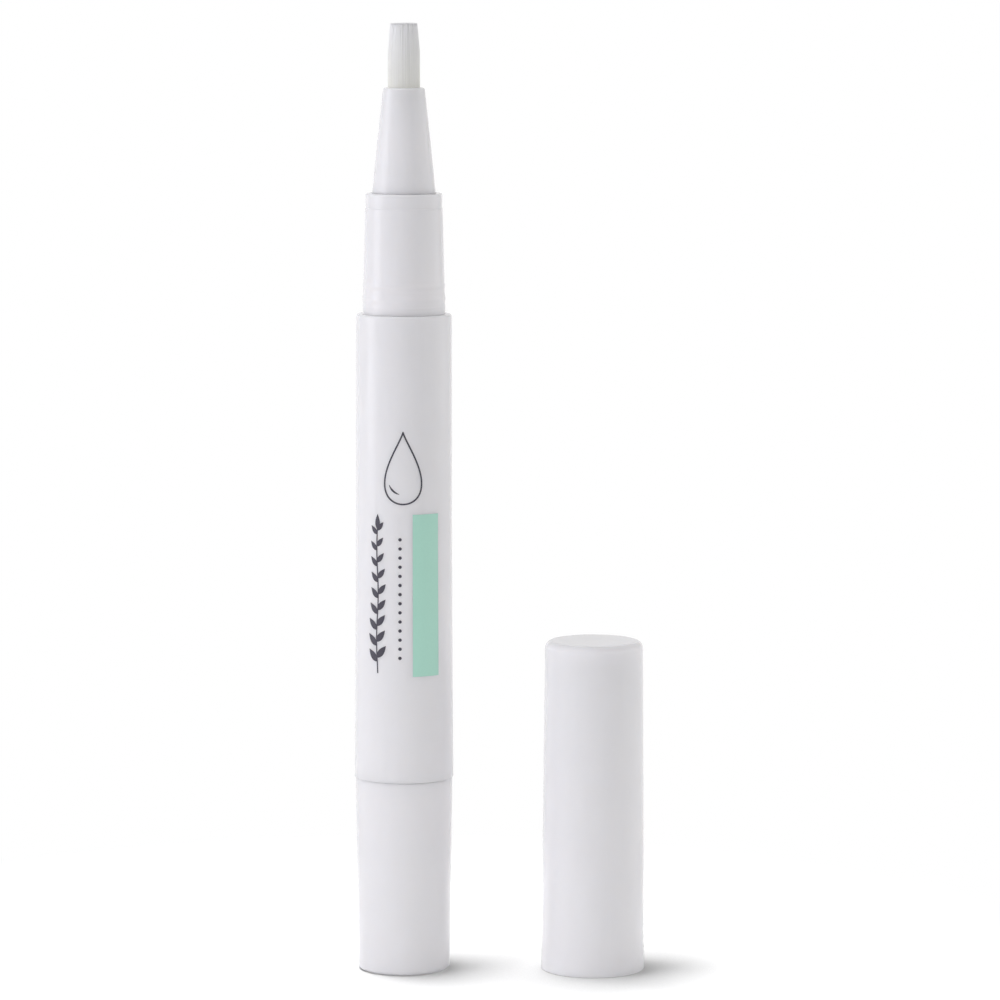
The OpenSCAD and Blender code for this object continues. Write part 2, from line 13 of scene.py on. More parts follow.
import bpy
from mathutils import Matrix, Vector


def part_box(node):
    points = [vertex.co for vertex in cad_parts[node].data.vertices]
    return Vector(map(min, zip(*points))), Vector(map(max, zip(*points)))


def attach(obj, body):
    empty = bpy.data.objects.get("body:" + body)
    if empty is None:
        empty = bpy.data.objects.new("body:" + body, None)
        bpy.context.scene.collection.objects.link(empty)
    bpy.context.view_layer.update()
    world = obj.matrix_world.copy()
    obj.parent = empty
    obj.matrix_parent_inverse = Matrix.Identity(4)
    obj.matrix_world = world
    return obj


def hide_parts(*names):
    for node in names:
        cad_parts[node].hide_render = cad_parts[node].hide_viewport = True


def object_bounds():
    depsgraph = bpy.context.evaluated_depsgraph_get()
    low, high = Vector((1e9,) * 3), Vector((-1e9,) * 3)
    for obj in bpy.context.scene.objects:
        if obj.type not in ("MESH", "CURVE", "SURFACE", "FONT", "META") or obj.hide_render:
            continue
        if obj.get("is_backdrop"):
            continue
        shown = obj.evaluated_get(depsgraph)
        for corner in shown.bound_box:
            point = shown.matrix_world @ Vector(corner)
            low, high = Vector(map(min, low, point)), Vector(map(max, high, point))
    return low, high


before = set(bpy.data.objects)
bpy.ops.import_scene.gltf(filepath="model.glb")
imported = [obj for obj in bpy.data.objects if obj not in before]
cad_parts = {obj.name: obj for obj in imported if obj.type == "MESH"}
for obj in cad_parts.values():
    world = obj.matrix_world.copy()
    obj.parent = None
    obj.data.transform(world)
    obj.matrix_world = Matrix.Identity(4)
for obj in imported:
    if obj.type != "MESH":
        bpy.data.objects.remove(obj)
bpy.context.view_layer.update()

MM = 0.001
print("solids in the frame:", len(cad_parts))

# %% [markdown]
# ## Camera
# The photograph was taken with a long lens from about 65 cm away, a little above the pen and looking 6.6
# degrees down, so the ellipses of cap and ledges are thin. A short lens would bend those ellipses, so the
# camera gets the same distance, height and tilt, and a lens that makes a millimetre as large as there.

# %% Place the camera
CAMERA_PLACE = (0.01326, -0.647, 0.141)
CAMERA_DOWN = 6.636
CAMERA_ROLL = 0.002
SENSOR_W = 36
LENS = 169.7
lens_data = bpy.data.cameras.new("photo_camera")
lens_data.sensor_width = SENSOR_W
lens_data.lens = LENS
camera = bpy.data.objects.new("photo_camera", lens_data)
camera.location = CAMERA_PLACE
camera.rotation_euler = (math.radians(90 - CAMERA_DOWN), 0, 0)
camera.rotation_euler.rotate_axis("Z", CAMERA_ROLL)
bpy.context.scene.collection.objects.link(camera)
bpy.context.scene.camera = camera
bpy.context.scene.view_settings.view_transform = "Standard"
print("camera with a lens of", lens_data.lens, "mm")

# %% [markdown]
# ## Writing materials as sums
# A material in Blender is a net of nodes, and sums of masks and noises are easier to read as Python than as
# wires. The first small class wraps one output of a node, so that plus, minus and times add Math nodes. The
# second makes any other node from its type, its settings and what its sockets get.

# %% Wrap a node's output
class Wire:
    """One output of a node, used in sums as if it were a number."""

    def __init__(self, net, socket):
        self.net = net
        self.socket = socket

    def combined(self, operation, first, second):
        return self.net.node("ShaderNodeMath", {"operation": operation}, {0: first, 1: second})

    def __add__(self, other):
        return self.combined("ADD", self, other)

    def __radd__(self, other):
        return self.combined("ADD", other, self)

    def __sub__(self, other):
        return self.combined("SUBTRACT", self, other)

    def __rsub__(self, other):
        return self.combined("SUBTRACT", other, self)

    def __mul__(self, other):
        return self.combined("MULTIPLY", self, other)

    def __rmul__(self, other):
        return self.combined("MULTIPLY", other, self)


# %% Make any node from its type, settings and sockets
class Net:
    """The nodes of one material or of the world."""

    def __init__(self, tree):
        self.tree = tree
        tree.nodes.clear()

    def node(self, kind, settings=None, sockets=None, take=0):
        made = self.tree.nodes.new(kind)
        for name, value in (settings or {}).items():
            setattr(made, name, value)
        for name, value in (sockets or {}).items():
            if isinstance(value, Wire):
                self.tree.links.new(value.socket, made.inputs[name])
            else:
                made.inputs[name].default_value = value
        if not made.outputs:
            return None
        return Wire(self, made.outputs[take])

    def mixed(self, factor, first, second):
        colours = {0: factor, 6: first, 7: second}
        return self.node("ShaderNodeMix", {"data_type": "RGBA"}, colours, take=2)

    def smooth_step(self, value, low, high):
        sockets = {"Value": value, "From Min": low, "From Max": high}
        return self.node("ShaderNodeMapRange", {"interpolation_type": "SMOOTHSTEP"}, sockets)

    def place(self, stretch=(1, 1, 1)):
        spot = self.node("ShaderNodeTexCoord", take="Object")
        if stretch == (1, 1, 1):
            return spot
        return self.node("ShaderNodeMapping", None, {"Vector": spot, "Scale": stretch})

    def noise(self, grain_mm, detail=2.0, stretch=(1, 1, 1)):
        sockets = {"Vector": self.place(stretch), "Scale": 1 / (grain_mm * MM), "Detail": detail}
        return self.node("ShaderNodeTexNoise", None, sockets)

    def bump(self, height, depth_mm):
        return self.node("ShaderNodeBump", None, {"Height": height, "Distance": depth_mm * MM})


def new_net(name):
    """A new material with an empty net."""
    material = bpy.data.materials.new(name)
    material.use_nodes = True
    return material, Net(material.node_tree)


print("node types are made by one method")

# %% [markdown]
# ## Floor, world and lamps
# The photograph has a pure white background on which only the soft shadows at the two feet are left.
# Close to the pen the floor is a lit sheet of paper, so it keeps these shadows. Farther away it fades into
# an even white for rays that come straight from the camera or by way of a reflection.
#
# The light is that of a small photo tent: weak light from everywhere, a cool panel at the front left that
# makes the plastic bright on that side, weak ones at the left and above, and a wide dim one at the right.
# The photograph shows one narrow light on nozzle and collar, far to the left. So the front left panel isn't
# mirrored in the plastic, and one farther back is mirrored only.
#
# A studio lights its paper apart from the thing on it. The same is done here with light linking: two small
# lamps reach only the floor. One hangs high at the left and one behind, so the short soft shadows lie to
# the right of the feet and just in front of them, and nothing on the pen becomes too bright. An ambient
# occlusion node deepens them there with painted shade, darkening the paper's own colour. It looks up and
# aslant to the left and back, so it darkens the paper most where a foot stands in that direction. A faint
# painted light, white mixed into the paper right under a foot, keeps that line from turning black. Seen by
# the pen instead of by the camera, the paper is darker, most of all close to the left of the foot, where its
# light would burn out the plastic.

# %% Tell what sees the background
def seen_plainly(net):
    """1 for camera rays, and for rays that reach the background by reflection or through glass."""
    straight = net.node("ShaderNodeLightPath", take="Is Camera Ray")
    mirrored = net.node("ShaderNodeLightPath", take="Is Glossy Ray")
    through = net.node("ShaderNodeLightPath", take="Is Transmission Ray")
    summed = straight + mirrored + through
    return net.node("ShaderNodeMath", {"operation": "MINIMUM"}, {0: summed, 1: 1.0})


# %% Lay the floor
FLOOR_RADIUS = 4.0
FLOOR_SIDES = 96
PAPER = 0.445
PAPER_DIM = 0.25
DIM_PLACE = (-0.03, 0.0, 0.0)
DIM_REACH = (0.018, 0.036)
PAPER_SEEN = 0.76
PAINTED_SHADOW_GREY = 0.15
TIGHT_REACH = 0.028
TIGHT_SIDE = (-0.52, 0.4, 0.755)
PAINTED_LIGHT_SHARE = 0.6
SHADOW_REACH = (0.05, 0.1)
OPENNESS_SAMPLES = 8
floor_mesh = bpy.data.meshes.new("floor")
rim = []
for side in range(FLOOR_SIDES):
    angle = 2 * math.pi * side / FLOOR_SIDES
    rim.append((FLOOR_RADIUS * math.cos(angle), FLOOR_RADIUS * math.sin(angle), 0))
floor_mesh.from_pydata(rim, [], [list(range(FLOOR_SIDES))])
floor = bpy.data.objects.new("floor", floor_mesh)
bpy.context.scene.collection.objects.link(floor)
floor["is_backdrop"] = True
print("floor of radius", FLOOR_RADIUS, "m")


# %% Give the floor its paper
def grey(level):
    """A grey with its alpha, as a socket takes it."""
    return (level, level, level, 1)


paper, net = new_net("white_paper")
seen = seen_plainly(net)
apart = net.node("ShaderNodeVectorMath", {"operation": "LENGTH"}, {0: net.place()}, take="Value")
far_away = net.smooth_step(apart, *SHADOW_REACH)
leaning = net.node("ShaderNodeCombineXYZ", None, dict(zip("XYZ", TIGHT_SIDE)))
openness = net.node(
    "ShaderNodeAmbientOcclusion",
    {"samples": OPENNESS_SAMPLES},
    {"Distance": TIGHT_REACH, "Normal": leaning},
    take="AO",
)
# Painted shadow: where the occlusion node finds a foot close by, the paper's colour for the camera darkens
# towards a deep grey.
seen_tone = net.mixed(openness, grey(PAINTED_SHADOW_GREY), grey(PAPER_SEEN))
off = net.node(
    "ShaderNodeVectorMath",
    {"operation": "DISTANCE"},
    {0: net.place(), 1: DIM_PLACE},
    take="Value",
)
undimmed = net.smooth_step(off, *DIM_REACH)
bounce_tone = net.mixed(undimmed, grey(PAPER_DIM), grey(PAPER))
tone = net.mixed(seen, bounce_tone, seen_tone)
lit = net.node("ShaderNodeBsdfDiffuse", None, {"Color": tone})
white = net.node("ShaderNodeEmission", None, {"Strength": 1.0})
tightness = 1 - openness
# Painted light: right under a foot, white emission is mixed into the paper the camera sees, so that crevice
# is not black.
painted_light = tightness * tightness * tightness * PAINTED_LIGHT_SHARE
plain = far_away.combined("MAXIMUM", far_away, painted_light)
both = net.node("ShaderNodeMixShader", None, {0: seen * plain, 1: lit, 2: white})
net.node("ShaderNodeOutputMaterial", None, {"Surface": both})
floor_mesh.materials.append(paper)
print("paper of grey", PAPER_SEEN, "for the camera and", PAPER, "for the pen")

# %% Set the world
WORLD_LEVEL = 0.44
world = bpy.data.worlds.new("tent")
world.use_nodes = True
net = Net(world.node_tree)
level = seen_plainly(net) * (1 - WORLD_LEVEL) + WORLD_LEVEL
sky = net.node("ShaderNodeBackground", None, {"Color": (1, 1, 1, 1), "Strength": level})
net.node("ShaderNodeOutputWorld", None, {"Surface": sky})
bpy.context.scene.world = world
print("world level", WORLD_LEVEL)

# %% Hang the lamps
AIM = Vector((0.012, 0, 0.06))


def panel(name, place, width, height, watts, colour):
    """A soft rectangular lamp that faces the pen."""
    lamp = bpy.data.lights.new(name, "AREA")
    lamp.shape = "RECTANGLE"
    lamp.size = width
    lamp.size_y = height
    lamp.energy = watts
    lamp.color = colour
    hung = bpy.data.objects.new(name, lamp)
    hung.location = place
    hung.rotation_euler = (AIM - Vector(place)).to_track_quat("-Z", "Y").to_euler()
    bpy.context.scene.collection.objects.link(hung)
    print("lamp", name, watts, "W")
    return hung


WHITE = (1.0, 1.0, 1.0)
COOL_WHITE = (0.944, 0.95, 1.0)
PEN_LAMPS = (
    ("left_panel", (-0.507, -0.299, 0.22), 0.4, 0.5, 1.64, COOL_WHITE),
    ("gleam_panel", (-0.57, -0.075, 0.2), 0.28, 0.55, 0.9, COOL_WHITE),
    ("high_panel", (-0.22, -0.04, 0.61), 0.6, 0.35, 0.24, COOL_WHITE),
    ("edge_panel", (-0.594, -0.021, 0.189), 0.3, 0.5, 0.25, COOL_WHITE),
    ("right_panel", (0.613, -0.053, 0.205), 0.9, 0.5, 1.22, WHITE),
)
pen_lamps = {row[0]: panel(*row) for row in PEN_LAMPS}
pen_lamps["left_panel"].visible_glossy = False
pen_lamps["gleam_panel"].visible_diffuse = False

# %% Light the paper apart from the pen
PAPER_LAMPS = (
    ("paper_lamp_high", (-0.067, 0.0, 0.372), 0.2, 0.15, 1.76, WHITE),
    ("paper_lamp_behind", (0.012, 0.244, 0.291), 0.2, 0.15, 0.5, WHITE),
)
paper_only = bpy.data.collections.new("paper_only")
paper_only.objects.link(floor)
for row in PAPER_LAMPS:
    paper_lamp = panel(*row)
    paper_lamp.light_linking.receiver_collection = paper_only
    paper_lamp.visible_camera = False

# %% [markdown]
# ## White moulded plastic
# Cap, knob, barrel, collar and nozzle are satin white polypropylene. Such plastic isn't quite opaque: light
# goes in and comes out up to a millimetre away, which softens every small edge. Its surface has a fine even
# grain from the mould, and very weak lines along the pen where it was drawn out of the mould. A flat colour
# with one roughness would look like painted metal, so colour and roughness wander a little, and the grain
# and the lines go into the normal as bump.

# %% Satin white plastic
CLOUD_MM = 5.0
CLOUD_DETAIL = 3.0
GRAIN_MM = 0.12
DRAW_LINE_MM = 0.6
DRAW_LINE_STRETCH = (1, 1, 0.02)
GLOSS_WANDER = 0.06
PLASTIC_IOR = 1.49
PLASTIC_SPECULAR = 0.3
PLASTIC_GLOW = 0.6
PLASTIC_GLOW_SHARES = (1.0, 0.95, 0.9)


def moulded_plastic(name, colour, shade, roughness, glow_mm, grain_depth_mm=0.002, lines_depth_mm=0.004):
    """Plastic whose colour wanders between two near tones."""
    material, net = new_net(name)
    cloud = net.noise(CLOUD_MM, CLOUD_DETAIL)
    grain = net.noise(GRAIN_MM)
    draw_lines = net.noise(DRAW_LINE_MM, stretch=DRAW_LINE_STRETCH)
    tone = net.mixed(cloud, (*colour, 1), (*shade, 1))
    gloss = cloud * GLOSS_WANDER + grain * GLOSS_WANDER + (roughness - GLOSS_WANDER)
    soft_lines = net.bump(draw_lines, lines_depth_mm)
    surface = net.node(
        "ShaderNodeBump",
        None,
        {"Height": grain, "Distance": grain_depth_mm * MM, "Normal": soft_lines},
    )
    sockets = {
        "Base Color": tone,
        "Roughness": gloss,
        "IOR": PLASTIC_IOR,
        "Specular IOR Level": PLASTIC_SPECULAR,
        "Subsurface Weight": PLASTIC_GLOW,
        "Subsurface Radius": PLASTIC_GLOW_SHARES,
        "Subsurface Scale": glow_mm * MM,
        "Normal": surface,
    }
    skin = net.node("ShaderNodeBsdfPrincipled", None, sockets)
    net.node("ShaderNodeOutputMaterial", None, {"Surface": skin})
    print("plastic", name)
    return material


shell_white = moulded_plastic(
    "shell_white",
    colour=(0.892, 0.874, 0.897),
    shade=(0.872, 0.854, 0.877),
    roughness=0.15,
    glow_mm=1.6,
)

# %% [markdown]
# ## Turning a part from its outline
# Every plastic part here is round, so each is turned: an outline of radius and height is carried once round
# the axis. A corner of real moulded plastic is never sharp, so each corner of an outline has a rounding of
# its own, which becomes a true arc. The same outline then gives exact normals for smooth shading, and no
# modifier is needed. The outline runs down the outside and up the inside, so its left hand points outwards.

# %% Round the corners of an outline
ARC_STEPS = 6
SIDE_SHARE = 0.48


def rounded(corners, closed):
    """Points of an outline whose corners (radius, height, rounding) are arcs, in millimetres."""
    points = []
    count = len(corners)
    for index, (radius, height, rounding) in enumerate(corners):
        here = Vector((radius, height))
        at_end = index in (0, count - 1) and not closed
        if at_end or rounding == 0:
            points.append(here)
            continue
        back = Vector(corners[index - 1][:2]) - here
        ahead = Vector(corners[(index + 1) % count][:2]) - here
        half = back.angle(ahead) / 2
        longest = min(back.length, ahead.length) * SIDE_SHARE
        reach = min(rounding / math.tan(half), longest)
        middle = (back.normalized() + ahead.normalized()).normalized() * reach / math.cos(half)
        start = back.normalized() * reach - middle
        end = ahead.normalized() * reach - middle
        for step in range(ARC_STEPS + 1):
            spoke = start.slerp(end, step / ARC_STEPS).normalized() * start.length
            points.append(here + middle + spoke)
    return points


# %% Carry an outline round the axis
SIDES = 160


def turned(name, points, closed, centre_x=0.0):
    """A mesh object turned from outline points in millimetres."""
    spots, rings, normals = [], [], []
    count = len(points)
    for index, point in enumerate(points):
        before = points[index - 1] if closed or index > 0 else point
        after = points[(index + 1) % count] if closed or index < count - 1 else point
        along = after - before
        out = Vector((-along.y, along.x)).normalized()
        ring_sides = 1 if point.x == 0 else SIDES
        rings.append(range(len(spots), len(spots) + ring_sides))
        for side in range(ring_sides):
            angle = 2 * math.pi * side / SIDES
            spots.append(Vector((point.x * math.cos(angle), point.x * math.sin(angle), point.y)) * MM)
            if ring_sides == 1:
                normals.append((0, 0, math.copysign(1, out.y)))
            else:
                normals.append((out.x * math.cos(angle), out.x * math.sin(angle), out.y))
    faces = []
    for index in range(count if closed else count - 1):
        upper, lower = rings[index], rings[(index + 1) % count]
        for side in range(SIDES):
            near_up, far_up = upper[side % len(upper)], upper[(side + 1) % SIDES % len(upper)]
            near_low, far_low = lower[side % len(lower)], lower[(side + 1) % SIDES % len(lower)]
            faces.append(list(dict.fromkeys((near_up, near_low, far_low, far_up))))
    mesh = bpy.data.meshes.new(name)
    shift = Vector((centre_x, 0, 0))
    mesh.from_pydata([spot + shift for spot in spots], [], faces)
    mesh.shade_smooth()
    mesh.normals_split_custom_set_from_vertices(normals)
    made = bpy.data.objects.new(name, mesh)
    bpy.context.scene.collection.objects.link(made)
    print("turned", name, len(faces), "faces")
    return made


# %% Put a finished part where it belongs
def placed(piece, body, slot, material, *nodes):
    """The piece rides a body, takes a finish and stands for solids of the frame. Its slot is not used."""
    piece.data.materials.clear()
    piece.data.materials.append(material)
    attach(piece, body)
    if nodes:
        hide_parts(*nodes)
    return piece


# %% [markdown]
# ## Heights of the seams
# The seams between the parts come from the boxes of the solids, so the pieces made here meet where the
# solids meet. A box gives the outer sizes too, such as the widest diameter of the cap.

# %% Read the seams from the frame
def heights(node):
    """Lowest and highest point of a solid, in millimetres."""
    low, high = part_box(node)
    return low.z / MM, high.z / MM


def widest(node):
    """Largest radius of a solid, in millimetres."""
    low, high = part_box(node)
    return (high.y - low.y) / 2 / MM


knob_high = heights("knob_shell")[1]
seam_z, barrel_top = heights("barrel")
collar_low, collar_top = heights("neck_collar")
nozzle_low, nozzle_top = heights("nozzle_cone")
tuft_low, tuft_top = heights("brush_tuft")
cap_low, cap_top = heights("cap_shell")
liner_low, liner_top = heights("cap_liner")
cap_box_low, cap_box_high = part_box("cap_shell")
cap_x = (cap_box_low.x + cap_box_high.x) / 2
seams = (knob_high, seam_z, barrel_top, collar_top, nozzle_top, tuft_top)
print("seams at", [round(z, 2) for z in seams])

# %% [markdown]
# ## Barrel
# The barrel is the longest part and holds the oil. It is widest just above the seam, tapers for half of its
# length and is nearly straight above that. Its upper end has a small round edge that catches a thin line of
# light, and its foot is nearly sharp, so that the seam above the knob is a thin line too. The wide lower
# bore takes the drive's housing, and the upper bore takes the piston and the collar.
#
# The same few roundings return on the hidden edges of every part, so they get their names first.

# %% Name the roundings that return
HAIR_EDGE = 0.008
CREASE_EDGE = 0.02
FINE_EDGE = 0.05
MOUTH_EDGE = 0.08
SOFT_EDGE = 0.1
PRESS_EDGE = 0.2
print("roundings from", HAIR_EDGE, "to", PRESS_EDGE, "mm")

# %% Turn the barrel
BARREL_WAIST = (6.64, 33.0)
BARREL_SWELL = 60
BARREL_TOP_R = 6.59
BARREL_EDGE = 0.38
BARREL_FOOT_EDGE = 0.06
OIL_BORE_R = 5.4
SOCKET_R = 5.6
SOCKET_L = 16.9
barrel_foot_r = widest("barrel")
waist_r, waist_rise = BARREL_WAIST
barrel_outline = [
    (BARREL_TOP_R, barrel_top, BARREL_EDGE),
    (waist_r, seam_z + waist_rise, BARREL_SWELL),
    (barrel_foot_r, seam_z, BARREL_FOOT_EDGE),
    (SOCKET_R, seam_z, SOFT_EDGE),
    (SOCKET_R, seam_z + SOCKET_L, FINE_EDGE),
    (OIL_BORE_R, seam_z + SOCKET_L, FINE_EDGE),
    (OIL_BORE_R, barrel_top, MOUTH_EDGE),
]
barrel = turned("oil_barrel", rounded(barrel_outline, True), True)
placed(barrel, "pen_body", "shell_plastic", shell_white, "barrel")

# %% [markdown]
# ## Collar
# The collar is pushed into the barrel. The cap slides over it, and two very low beads near its foot grip
# the cap. They stand out less than a hair's width and show only as two soft lights on the left. Corners
# can't draw such shapes, so the collar's flank is a taper to which bell curves are added, one for each bead
# and a faint one below them, sampled every tenth of a millimetre. The land at the top, which the cap's inner
# cup seals on, is a little narrower.

# %% Describe the collar's flank
COLLAR_FOOT_R = 5.71
COLLAR_TOP_R = 5.32
LAND_R = 5.25
LAND_H = 2.05
BEADS = ((3.9, 0.36, 0.055), (2.15, 0.42, 0.06), (1.0, 0.12, 0.02))
flank_h = collar_top - barrel_top - LAND_H


def collar_radius(rise):
    """Radius of the collar at a height above the barrel, in millimetres."""
    radius = COLLAR_FOOT_R + (COLLAR_TOP_R - COLLAR_FOOT_R) * rise / flank_h
    for middle, spread, proud in BEADS:
        radius += proud * math.exp(-(((rise - middle) / spread) ** 2))
    return radius


# %% Turn the collar
FLANK_STEP = 0.1
COLLAR_BORE_R = 3.2
SPIGOT_R = 4.0
SPIGOT_GAP = 0.1
SPIGOT_MOUTH_EDGE = 0.06
PLUG_R = 5.38
PLUG_EDGE = 0.3
LAND_EDGE = 0.25
LAND_CREASE = 0.03
LEDGE_EDGE = 0.04
LEDGE_RUN = 0.2
LEDGE_FLARE = 0.004
FOOT_RISE = 0.02
ledge_z = collar_top - LAND_H
head = [
    (SPIGOT_R, collar_top, SPIGOT_MOUTH_EDGE),
    (LAND_R, collar_top, LAND_EDGE),
    (LAND_R, ledge_z, LAND_CREASE),
    (COLLAR_TOP_R, ledge_z, LEDGE_EDGE),
    (COLLAR_TOP_R + LEDGE_FLARE, ledge_z - LEDGE_RUN, 0),
]
flank = []
for step in range(round((flank_h - LEDGE_RUN) / FLANK_STEP), 0, -1):
    rise = step * FLANK_STEP
    flank.append(Vector((collar_radius(rise), barrel_top + rise)))
foot = [
    (COLLAR_FOOT_R, barrel_top + FOOT_RISE, 0),
    (COLLAR_FOOT_R, barrel_top, HAIR_EDGE),
    (PLUG_R, barrel_top, HAIR_EDGE),
    (PLUG_R, collar_low, PLUG_EDGE),
    (COLLAR_BORE_R, collar_low, SOFT_EDGE),
    (COLLAR_BORE_R, nozzle_low - SPIGOT_GAP, FINE_EDGE),
    (SPIGOT_R, nozzle_low - SPIGOT_GAP, FINE_EDGE),
    (SPIGOT_R, collar_top, 0),
]
collar_points = rounded(head, False)[1:] + flank + rounded(foot, False)
collar = turned("neck_collar_smooth", collar_points, True)
placed(collar, "pen_body", "shell_plastic", shell_white, "neck_collar")

# %% [markdown]
# ## Nozzle
# The nozzle is a long cone with a round lip. Its taper grows a little steeper above a soft belly, which is
# one corner of the outline with a very large rounding. The brush stands in its mouth with a hair's width of
# room.

# %% Turn the nozzle
NOZZLE_FOOT_R = 4.36
NOZZLE_BELLY = (3.8, 0.4)
NOZZLE_SWELL = 150
NOZZLE_TIP_R = 2.85
NOZZLE_LIP = 0.5
MOUTH_R = 2.25
SEAT_R = 3.0
SPIGOT_OUT_R = 3.98
BRUSH_STEP_SHARE = 0.27
brush_step = collar_top + (nozzle_top - collar_top) * BRUSH_STEP_SHARE
belly_r, belly_share = NOZZLE_BELLY
nozzle_outline = [
    (MOUTH_R, nozzle_top, MOUTH_EDGE),
    (NOZZLE_TIP_R, nozzle_top, NOZZLE_LIP),
    (belly_r, collar_top + (nozzle_top - collar_top) * belly_share, NOZZLE_SWELL),
    (NOZZLE_FOOT_R, collar_top + FOOT_RISE, 0),
    (NOZZLE_FOOT_R, collar_top, HAIR_EDGE),
    (SPIGOT_OUT_R, collar_top, HAIR_EDGE),
    (SPIGOT_OUT_R, nozzle_low, PRESS_EDGE),
    (SEAT_R, nozzle_low, SOFT_EDGE),
    (SEAT_R, brush_step, FINE_EDGE),
    (MOUTH_R, brush_step, FINE_EDGE),
]
nozzle = turned("nozzle_smooth", rounded(nozzle_outline, True), True)
placed(nozzle, "pen_body", "shell_plastic", shell_white, "nozzle_cone")

# %% [markdown]
# ## Cap
# The cap is a tall cup that stands on its open end. Its closed end has the largest rounding of the whole
# pen, and that rounding catches a small light at the left. Inside, a low ring snaps behind the collar's
# beads, and above it the bore is a little narrower where the inner cup is pressed in.

# %% Turn the cap
CAP_TOP_R = 6.79
CAP_EDGE = 1.0
CAP_FOOT_EDGE = 0.15
CAP_BORE_R = 5.9
CAP_BORE_EDGE = 0.25
LINER_BORE_R = 5.82
SNAP_R = 5.63
SNAP_Z = 2.97
SNAP_RAMP = 0.5
SNAP_FLAT = 0.12
cap_rim_r = widest("cap_shell")
cap_outline = [
    (0, cap_top, 0),
    (CAP_TOP_R, cap_top, CAP_EDGE),
    (cap_rim_r, cap_low, CAP_FOOT_EDGE),
    (CAP_BORE_R, cap_low, CAP_BORE_EDGE),
    (CAP_BORE_R, SNAP_Z - SNAP_RAMP, PRESS_EDGE),
    (SNAP_R, SNAP_Z - SNAP_FLAT, SNAP_FLAT),
    (SNAP_R, SNAP_Z + SNAP_FLAT, SNAP_FLAT),
    (CAP_BORE_R, SNAP_Z + SNAP_RAMP, PRESS_EDGE),
    (CAP_BORE_R, liner_low, CREASE_EDGE),
    (LINER_BORE_R, liner_low, CREASE_EDGE),
    (LINER_BORE_R, liner_top, FINE_EDGE),
    (0, liner_top, 0),
]
cap = turned("tall_cap", rounded(cap_outline, False), False, cap_x)
placed(cap, "cap", "shell_plastic", shell_white, "cap_shell")

# %% [markdown]
# ## Brush
# The brush is a tight bundle of about fourteen hundred nylon fibres, each thinner than a tenth of a
# millimetre at its tip. A smooth rod with a bump would have a clean upper edge, and the real bundle's edge
# is slightly ragged, so every fibre is a mesh of its own. The fibres stand in a spiral like the seeds of a
# sunflower, which fills a circle evenly. They rise straight out of the nozzle and lean together towards the
# tip. Oil has made them pass some light, and their lower half looks a little warmer than their tips.
#
# In the real bundle oil fills the gaps between the fibres and light passes through it from side to side.
# Air gaps between separate meshes would only swallow it. A core that passes light therefore fills the
# bundle just behind its outermost fibres, and ends a little below their tips.

# %% Finish of the fibres
WET_TONES = ((0.955, 0.945, 0.87, 1), (0.985, 0.975, 0.91, 1))
DRY_TONES = ((0.95, 0.945, 0.955, 1), (0.98, 0.975, 0.985, 1))
WET_DEPTH = 1
DRY_DEPTH = 1.5
FIBRE_NOISE_MM = 0.22
FIBRE_NOISE_STRETCH = (1, 1, 0.03)
NYLON_ROUGHNESS = 0.38
NYLON_WANDER = 0.15
NYLON_IOR = 1.53
NYLON_GLOW_SHARES = (1.0, 1.0, 0.9)


def fibre_nylon(name, glow_share, glow_mm):
    """Pale nylon, clearer and warmer where it is wet with oil."""
    material, net = new_net(name)
    height = net.node("ShaderNodeSeparateXYZ", None, {0: net.place()}, take="Z")
    wet_z, dry_z = (nozzle_top - WET_DEPTH) * MM, (tuft_top - DRY_DEPTH) * MM
    dry = net.node("ShaderNodeMapRange", None, {"Value": height, "From Min": wet_z, "From Max": dry_z})
    single = net.noise(FIBRE_NOISE_MM, detail=1.0, stretch=FIBRE_NOISE_STRETCH)
    wet_tone = net.mixed(single, *WET_TONES)
    dry_tone = net.mixed(single, *DRY_TONES)
    sockets = {
        "Base Color": net.mixed(dry, wet_tone, dry_tone),
        "Roughness": single * NYLON_WANDER + NYLON_ROUGHNESS,
        "IOR": NYLON_IOR,
        "Subsurface Weight": glow_share,
        "Subsurface Radius": NYLON_GLOW_SHARES,
        "Subsurface Scale": glow_mm * MM,
    }
    skin = net.node("ShaderNodeBsdfPrincipled", None, sockets)
    net.node("ShaderNodeOutputMaterial", None, {"Surface": skin})
    print("nylon", name)
    return material


# %% Grow the fibres
FIBRES = 1400
FIBRE_R = 0.061
FIBRE_TIP_R = 0.045
FIBRE_SIDES = 6
TUFT_R = 2.22
TUFT_TIP_R = 1.84
TUFT_HEART_R = 0.68
DRAWN_L = 4.0
DRAWN_CURVE = 1.15
GOLDEN_ANGLE = math.radians(137.508)
ROOT_RISE = 0.6
MOUTH_DEPTH = 0.5
LEVEL_DEPTHS = (DRAWN_L, 2.4, 1.2, 0.35)
TIP_SLANT = 0.02
TIP_DOME = 0.1
TIP_DOME_CURVE = 4
TIP_DEPTH = 0.01
TIP_UNEVEN = 0.07
TIP_L = 0.06
TIP_END_SHARE = 0.4
WANDER = 0.05
FIBRE_SEED = 7
draws = random.Random(FIBRE_SEED)


def lean(height):
    """How far out a fibre stands at a height, as a share of where it is rooted."""
    drawn = max(0.0, (height - (tuft_top - DRAWN_L)) / DRAWN_L)
    return 1 - (1 - TUFT_TIP_R / TUFT_R) * drawn**DRAWN_CURVE


